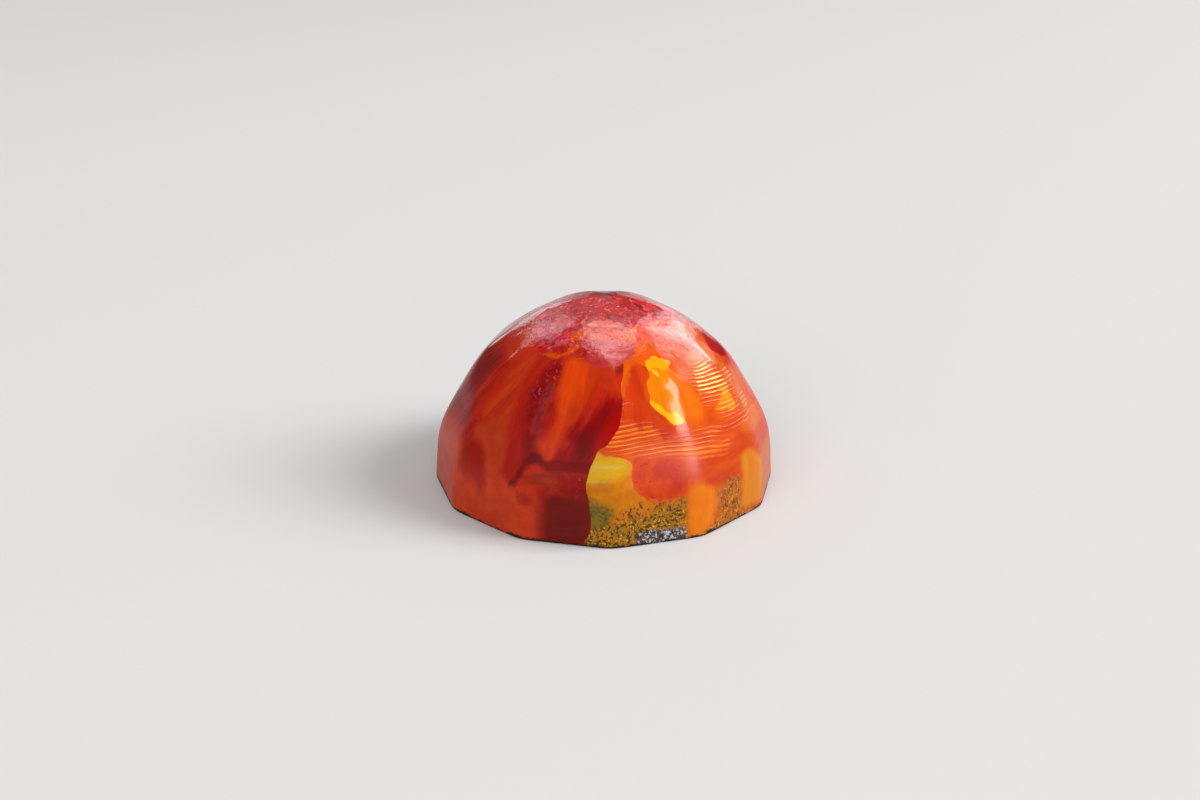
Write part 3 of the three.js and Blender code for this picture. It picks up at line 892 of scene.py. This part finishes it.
class Coat:
    """The coat's material: the noises that its layers share, and the layers one by one."""

    def __init__(self, finish: CoatFinish) -> None:
        """Set out what the layers share: the outlines' wander, each grain's marks and the comb's lines."""
        self.finish = finish
        self.bench = bench = Bench("painted_coat")
        self.solid = bench.place("solid_mm")
        self.height = bench.node("ShaderNodeSeparateXYZ", {}, {0: self.solid}, "Z")
        self.wander = bench.noise(self.solid, finish.wander) - 0.5
        self.mottle = bench.noise(self.solid, finish.mottling)
        strokes = (Grain.LEVEL, Grain.UPRIGHT, Grain.DIAGONAL)
        self.grains = {g: bench.noise(bench.place(f"{g.value}_bristles"), finish.bristles) for g in strokes}
        self.grains[Grain.MOTTLED] = self.mottle
        self.contrast = {grain: bench.step(wire, *finish.shading) for grain, wire in self.grains.items()}
        phase = bench.number("comb_phase")
        crest = bench.node("ShaderNodeMath", {"operation": "SINE"}, {0: phase * (2 * math.pi)}) * 0.5 + 0.5
        gaps = (bench.noise(bench.place("level_bristles"), finish.comb_gaps) - 0.5) * finish.comb_gap_depth
        self.line = bench.step(crest + self.wander + gaps, *finish.comb_line)

    def material(self, patches: tuple[Patch, ...], speckles: tuple[Speckles, ...]) -> bpy.types.Material:
        """Put the coat's material together: paint, the bare rim below it, gloss and low relief.

        Args:
            patches: the painted patches, lowest first.
            speckles: the drops, each over its own patch and under the later ones.

        Returns:
            The material.
        """
        bench, finish, chocolate = self.bench, self.finish, self.finish.chocolate
        paint, proud = self.paint(patches, speckles)
        ragged = self.height + (self.mottle - 0.5) * (2 * chocolate.rim_raggedness) - chocolate.rim_height
        bare = 1 - bench.step(ragged, -chocolate.rim_softness, chocolate.rim_softness)
        brown = self.shaded(Grain.MOTTLED, chocolate.colour, chocolate.shade)
        low = 1 - bench.step(self.height, *finish.dull_heights)
        gloss = finish.roughness + finish.roughness_spread * self.mottle + low * finish.low_dulling
        bump = bench.node("ShaderNodeBump", {}, {
            "Strength": 1.0, "Distance": MM, "Height": self.relief() + proud * finish.edge_relief})
        shader = bench.node("ShaderNodeBsdfPrincipled", {}, {
            "Base Color": bench.mix(bare, paint, brown),
            "Roughness": gloss + bare * (chocolate.roughness - finish.roughness),
            "Normal": bump, "Specular IOR Level": finish.specular_level})
        bench.tree.links.new(shader.socket, bench.output.inputs["Surface"])
        return bench.material

    def shaded(self, grain: Grain, colour: Colour, shade: Colour) -> Wire:
        """A colour that marks of one grain darken to its shade."""
        return self.bench.mix(self.contrast[grain], linear(colour), linear(shade))

    def relief(self) -> Wire:
        """Heights in millimetres of the comb's lines, the bristle marks and the crown's uneven skin."""
        finish = self.finish
        lines = self.line * self.bench.number("comb_strength") * finish.comb_relief
        marks = (self.grains[Grain.DIAGONAL] + self.grains[Grain.LEVEL]) * finish.bristle_relief
        crown = self.mottle * self.bench.step(self.height, *finish.crown_heights) * finish.crown_relief
        return lines + marks + crown

    def paint(self, patches: tuple[Patch, ...], speckles: tuple[Speckles, ...]) -> tuple[Wire, Wire]:
        """Lay the patches and their drops over the ground.

        Args:
            patches: the painted patches, lowest first.
            speckles: the drops.

        Returns:
            The paint's colour, and how many patches with crisp edges lie over each other.
        """
        colour = self.shaded(Grain.DIAGONAL, self.finish.ground, self.finish.ground_shade)
        masks: dict[str, Wire] = {}
        proud: Wire | float = 0.0
        for patch in patches:
            masks[patch.name] = mask = self.mask(patch, masks)
            strokes = self.shaded(patch.grain, patch.colour, patch.shade)
            colour = self.bench.mix(mask * patch.opacity, colour, strokes)
            if patch.edge < self.finish.proud_edge:
                proud = mask + proud
            for drops in speckles:
                if drops.zone == patch.name:
                    colour = self.bench.mix(self.drops(drops, mask), colour, linear(drops.colour))
        return colour, proud

    def mask(self, patch: Patch, masks: dict[str, Wire]) -> Wire:
        """Where a patch covers, from 0 to 1.

        Its distance inside the outline is shifted by the wander and by its bristle marks, then stepped over
        the width of its edge. A patch within another stops at the other's outline, and a combed one breaks up
        into the ripples' crests.

        Args:
            patch: the patch.
            masks: the masks of the patches below, by name.

        Returns:
            The mask.
        """
        distance = self.bench.number(patch.name) + self.wander * (2 * patch.ragged)
        if patch.bristle:
            push = self.finish.bristle_push * patch.bristle
            distance = distance + (self.grains[patch.grain] - 0.5) * push
        mask = self.bench.step(distance, -patch.edge / 2, patch.edge / 2)
        if patch.within:
            mask = mask * masks[patch.within]
        if patch.combed:
            mask = mask * (self.line * patch.combed + (1 - patch.combed))
        return mask

    def drops(self, drops: Speckles, zone: Wire) -> Wire:
        """Where drops lie, from 0 to 1.

        Args:
            drops: the drops.
            zone: the mask of their patch.

        Returns:
            The mask.
        """
        blots = self.bench.noise(self.solid, drops.noise())
        peaks = self.bench.step(blots, drops.threshold, drops.threshold + drops.spread)
        return peaks * zone * drops.strength


@dataclass
class Praline:
    """The praline: the moulded dome, its low relief, its painted coat and its bare chocolate underside.

    Attributes:
        shape: the smooth dome.
        comb: the ripples.
        unevenness: the moulded surface's broad waves.
        finish: the coat's.
        around: vertices in a ring.
        rings: rings from the foot's rounded rim to the top.
        foot_rounding: how far the rim is rounded off.
        foot_fade: the height over which the waves fade in.
        top_fade: the way below the top over which they fade out.
        base_rings: rings across the underside.
        bristle_wave: the width of a bristle mark.
        bristle_length: its length.
        bristle_twist: how far diagonal marks turn for each millimetre of height, in radians.
        bristle_reach: where the marks' width is measured, as a share of the foot's reach.
        chart: the dome laid out flat.
    """

    shape: DomeShape = DomeShape()
    comb: Comb = Comb()
    unevenness: Waves = Waves(depth=0.03, shortest=3.2, longest=6.5, seed=11)
    finish: CoatFinish = CoatFinish()
    around: int = 360
    rings: int = 268
    foot_rounding: float = 0.12
    foot_fade: float = 2.0
    top_fade: float = 1.5
    base_rings: int = 3
    bristle_wave: float = 0.9
    bristle_length: float = 4.5
    bristle_twist: float = -0.045
    bristle_reach: float = 0.8
    chart: FlatChart = field(init=False)

    def __post_init__(self) -> None:
        """Lay the dome out flat."""
        self.chart = FlatChart(self.shape)

    def build(self) -> bpy.types.Object:
        """Make the praline's mesh, paint it and put it in the place of its plain solid.

        Returns:
            The praline.
        """
        azimuth, height = self.places()
        smooth = self.shape.point(azimuth, height)
        flat = self.chart.place(azimuth, height)
        distances = {patch.name: patch.distance(self.shape, self.chart, flat, smooth) for patch in PATCHES}
        climb = np.interp(height, self.chart.heights, self.chart.climb)
        phase = self.comb.phase(azimuth, climb, smooth)
        combed = self.comb.strength(distances)
        points = self.relief(smooth, height, phase, combed)
        piece = self.mesh(points)
        mesh = piece.data
        for name, distance in distances.items():
            self.keep(mesh, name, distance)
        self.keep(mesh, "comb_phase", phase)
        self.keep(mesh, "comb_strength", combed)
        for name, place in self.bristles(smooth).items():
            self.keep(mesh, name, place)
        mesh.materials.append(Coat(self.finish).material(PATCHES, SPECKLES))
        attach(piece, "root")
        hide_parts("praline")
        return piece

    def places(self) -> tuple[Array, Array]:
        """Azimuths and heights of the vertices: rings evenly up from the foot's rounded rim, then the top."""
        turn = np.arange(self.around) * (2 * math.pi / self.around) - math.pi
        climb = self.chart.climb
        foot = np.interp(self.foot_rounding, self.chart.heights, climb)
        ways = np.linspace(foot, self.chart.total, self.rings, endpoint=False)
        heights = np.interp(ways, climb, self.chart.heights)
        azimuth = np.append(np.tile(turn, self.rings), 0.0)
        height = np.append(np.repeat(heights, self.around), self.shape.height * HAIR_BELOW)
        return azimuth, height

    def relief(self, smooth: Array, height: Array, phase: Array, combed: Array) -> Array:
        """Sink the surface a little towards a point inside, a third of the way up.

        The depth is the broad waves' share, faded out at the foot and the top, and a sine of the comb's phase
        inside the combed zones.

        Args:
            smooth: the vertices on the smooth dome.
            height: their heights.
            phase: their ripples' phase.
            combed: how strongly they are combed.

        Returns:
            The vertices, still inside the smooth dome.
        """
        below = self.shape.height - height
        fade = np.clip(height / self.foot_fade, 0, 1) * np.clip(below / self.top_fade, 0, 1)
        depth = fade * (self.unevenness.depth - self.unevenness.at(smooth))
        depth = depth + self.comb.height * combed * (0.5 - 0.5 * np.sin(2 * math.pi * phase))
        middle = np.array([0, 0, self.shape.height / 3])
        inward = middle - smooth
        inward /= np.linalg.norm(inward, axis=1, keepdims=True)
        return smooth + depth[:, None] * inward

    def mesh(self, points: Array) -> bpy.types.Object:
        """Join the rings into a closed skin, with a rounded rim and a flat underside.

        The underside's rings are the foot's ring drawn in towards the axis; the last is one point.

        Args:
            points: the vertices, ring by ring from the rounded rim, the top point last.

        Returns:
            The new object.
        """
        around, rings = self.around, self.rings
        foot = points[:around]
        draw_in = 1 - self.foot_rounding / self.shape.wall.at_foot
        shares = draw_in * np.linspace(1, 0, self.base_rings + 1)[:-1]
        under = [foot * [share, share, 0] for share in shares]
        vertices = np.vstack([points, *under, [[0, 0, 0]]]) * MM
        top = around * rings
        first_under = top + 1
        centre = len(vertices) - 1
        column = np.arange(around)
        beside = (column + 1) % around

        def band(lower: int, upper: int) -> Array:
            """Quads between two rings, facing out where the upper ring lies above the lower."""
            return np.stack([lower + column, lower + beside, upper + beside, upper + column], 1)

        quads = [band(ring * around, (ring + 1) * around) for ring in range(rings - 1)]
        quads.append(band(first_under, 0))
        for ring in range(self.base_rings - 1):
            start = first_under + ring * around
            quads.append(band(start + around, start))
        last = first_under + (self.base_rings - 1) * around
        rim = (rings - 1) * around
        fans = [np.stack([rim + column, rim + beside, np.full(around, top)], 1),
                np.stack([np.full(around, centre), last + beside, last + column], 1)]
        faces = [*np.vstack(quads).tolist(), *np.vstack(fans).tolist()]
        mesh = bpy.data.meshes.new("painted_praline")
        mesh.from_pydata(vertices.tolist(), [], faces)
        mesh.validate()
        mesh.shade_smooth()
        piece = bpy.data.objects.new("painted_praline", mesh)
        bpy.context.collection.objects.link(piece)
        return piece

    def bristles(self, smooth: Array) -> dict[str, Array]:
        """Places whose noise makes bristle marks: quick changes across a stroke and slow ones along it.

        Level strokes change quickly with height. Upright ones change quickly with the azimuth's direction,
        and diagonal ones with the azimuth and a twist for each millimetre of height.

        Args:
            smooth: the vertices on the smooth dome.

        Returns:
            The places by their attribute's name, with the vertices' places in millimetres.
        """
        x, y, z = smooth.T
        azimuth = np.arctan2(x, -y)
        quick, slow = 1 / self.bristle_wave, 1 / self.bristle_length
        radius = self.shape.wall.at_foot * self.bristle_reach * quick

        def climbing(turn: Array) -> Array:
            """Places of strokes that climb the dome along given turns."""
            return np.stack([np.sin(turn) * radius, np.cos(turn) * radius, z * slow], 1)

        return {
            "solid_mm": smooth,
            "level_bristles": np.stack([x * slow, y * slow, z * quick], 1),
            "upright_bristles": climbing(azimuth),
            "diagonal_bristles": climbing(azimuth + self.bristle_twist * z),
        }

    def keep(self, mesh: bpy.types.Mesh, name: str, values: Array) -> None:
        """Keep one number or vector for each vertex; the underside takes the values of the foot's ring."""
        under = np.tile(values[: self.around].T, self.base_rings).T
        whole = np.concatenate([values, under, values[:1]]).astype(np.float32)
        if values.ndim == 1:
            attribute = mesh.attributes.new(name, "FLOAT", "POINT")
            attribute.data.foreach_set("value", whole)
        else:
            attribute = mesh.attributes.new(name, "FLOAT_VECTOR", "POINT")
            attribute.data.foreach_set("vector", whole.ravel())


@dataclass(frozen=True)
class Softbox:
    """A soft light: where it hangs as seen from the praline, its size, and its brightness as a card's."""

    name: str
    azimuth: float
    elevation: float
    distance: float
    width: float
    height: float
    brightness: float
    lights_colour: bool = False
    shines: bool = True

    POWER_FOR_BRIGHTNESS = 4.0

    def hang(self, aim: Vector) -> bpy.types.Object:
        """Hang the light, turned towards a point.

        Args:
            aim: the point.

        Returns:
            The light.
        """
        turn, rise = math.radians(self.azimuth), math.radians(self.elevation)
        way = Vector((math.sin(turn) * math.cos(rise), -math.cos(turn) * math.cos(rise), math.sin(rise)))
        data = bpy.data.lights.new(self.name, "AREA")
        data.shape = "RECTANGLE"
        data.size = self.width
        data.size_y = self.height
        data.energy = self.brightness * self.POWER_FOR_BRIGHTNESS * self.width * self.height
        light = bpy.data.objects.new(self.name, data)
        bpy.context.collection.objects.link(light)
        light.location = aim + way * self.distance
        light.rotation_euler = way.to_track_quat("Z", "Y").to_euler()
        light.visible_camera = False
        light.visible_diffuse = self.lights_colour
        light.visible_glossy = self.shines
        return light


@dataclass(frozen=True)
class Studio:
    """A plain pale floor, plain soft lights, and the camera at the photograph's viewing angle."""

    aim_height: float = 8.0 * MM
    floor_half: float = 3.0
    floor_colour: Colour = (206, 205, 204)
    floor_roughness: float = 0.8
    surroundings: float = 0.52
    mirrored_surroundings: float = 0.12
    softboxes: tuple[Softbox, ...] = (
        Softbox("key", 84, 34, 2.0, 1.10, 1.10, 8.6, lights_colour=True, shines=False),
        Softbox("fill", -20, 26, 2.0, 1.80, 1.20, 2.6, lights_colour=True, shines=False),
        Softbox("overhead", -20, 102, 0.6, 0.26, 0.26, 16.0),
        Softbox("back_panel", 180, 45, 0.6, 0.26, 0.30, 1.5),
        Softbox("left_back_panel", 214, 40, 0.6, 0.20, 0.20, 5.5),
        Softbox("right_back_window", 136, 39, 0.6, 0.26, 0.24, 9.5),
        Softbox("right_low_window", 143, 24, 0.6, 0.16, 0.14, 9.0),
        Softbox("right_window", 112, 33, 0.6, 0.14, 0.18, 5.0),
        Softbox("upper_front_window", 74, 46, 0.6, 0.22, 0.20, 20.0),
        Softbox("front_window", 57, 29, 0.6, 0.20, 0.22, 22.0),
        Softbox("front_low_window", 52, 14, 0.6, 0.34, 0.14, 5.0),
        Softbox("left_window", -58, 42, 0.6, 0.22, 0.36, 0.8),
        Softbox("left_low_panel", 197, 12, 0.6, 0.20, 0.16, 3.0),
        Softbox("right_low_panel", 161, 9, 0.6, 0.16, 0.12, 3.0),
    )
    camera_place: tuple[float, float, float] = (-5.49, -120.69, 54.65)
    camera_yaw: float = 2.41
    camera_pitch: float = -21.54
    camera_roll: float = 0.32
    camera_focal_pixels: float = 1475.1
    sensor: float = 36.0
    nearest: float = 0.01
    farthest: float = 20.0

    def build(self) -> None:
        """Make the floor, the lights, the surroundings and the camera."""
        self.floor()
        for softbox in self.softboxes:
            softbox.hang(Vector((0, 0, self.aim_height)))
        self.light_from_all_sides()
        self.camera()
        bpy.context.scene.view_settings.view_transform = "Standard"

    def floor(self) -> bpy.types.Object:
        """Lay the floor level with the praline's foot."""
        half = self.floor_half
        mesh = bpy.data.meshes.new("floor")
        corners = [(-half, -half, 0), (half, -half, 0), (half, half, 0), (-half, half, 0)]
        mesh.from_pydata(corners, [], [(0, 1, 2, 3)])
        floor = bpy.data.objects.new("floor", mesh)
        bpy.context.collection.objects.link(floor)
        bench = Bench("pale_floor")
        shader = bench.node("ShaderNodeBsdfPrincipled", {}, {
            "Base Color": linear(self.floor_colour), "Roughness": self.floor_roughness,
            "Specular IOR Level": 0.0})
        bench.tree.links.new(shader.socket, bench.output.inputs["Surface"])
        mesh.materials.append(bench.material)
        return floor

    def light_from_all_sides(self) -> None:
        """Give the surroundings an even pale light, which the coat mirrors only dimly."""
        world = bpy.data.worlds.new("surroundings")
        world.use_nodes = True
        tree = world.node_tree
        path = tree.nodes.new("ShaderNodeLightPath")
        mirrored = Wire(tree, path.outputs["Is Glossy Ray"])
        strength = mirrored * (self.mirrored_surroundings - self.surroundings) + self.surroundings
        background = tree.nodes["Background"]
        background.inputs["Color"].default_value = (1.0, 1.0, 1.0, 1.0)
        tree.links.new(strength.socket, background.inputs["Strength"])
        bpy.context.scene.world = world

    def camera(self) -> bpy.types.Object:
        """Stand the camera where the photograph was taken from."""
        yaw, pitch, roll = (math.radians(a) for a in (self.camera_yaw, self.camera_pitch, self.camera_roll))
        data = bpy.data.cameras.new("camera")
        data.sensor_width = self.sensor
        data.lens = self.camera_focal_pixels * self.sensor / PHOTO_WIDTH
        data.clip_start = self.nearest
        data.clip_end = self.farthest
        camera = bpy.data.objects.new("camera", data)
        bpy.context.collection.objects.link(camera)
        turned = (Matrix.Rotation(-yaw, 4, "Z") @ Matrix.Rotation(math.pi / 2 + pitch, 4, "X")
                  @ Matrix.Rotation(roll, 4, "Z"))
        camera.matrix_world = Matrix.Translation(Vector(self.camera_place) * MM) @ turned
        bpy.context.scene.camera = camera
        return camera


def main() -> None:
    """Build the praline and the studio, and report what was made."""
    logging.basicConfig(level=logging.INFO, format="%(name)s: %(message)s")
    praline = Praline().build()
    log.info("%s: %d faces, %d painted patches", praline.name, len(praline.data.polygons), len(PATCHES))
    Studio().build()
    log.info("studio: floor, lights and camera in place")


if __name__ == "__main__":
    main()
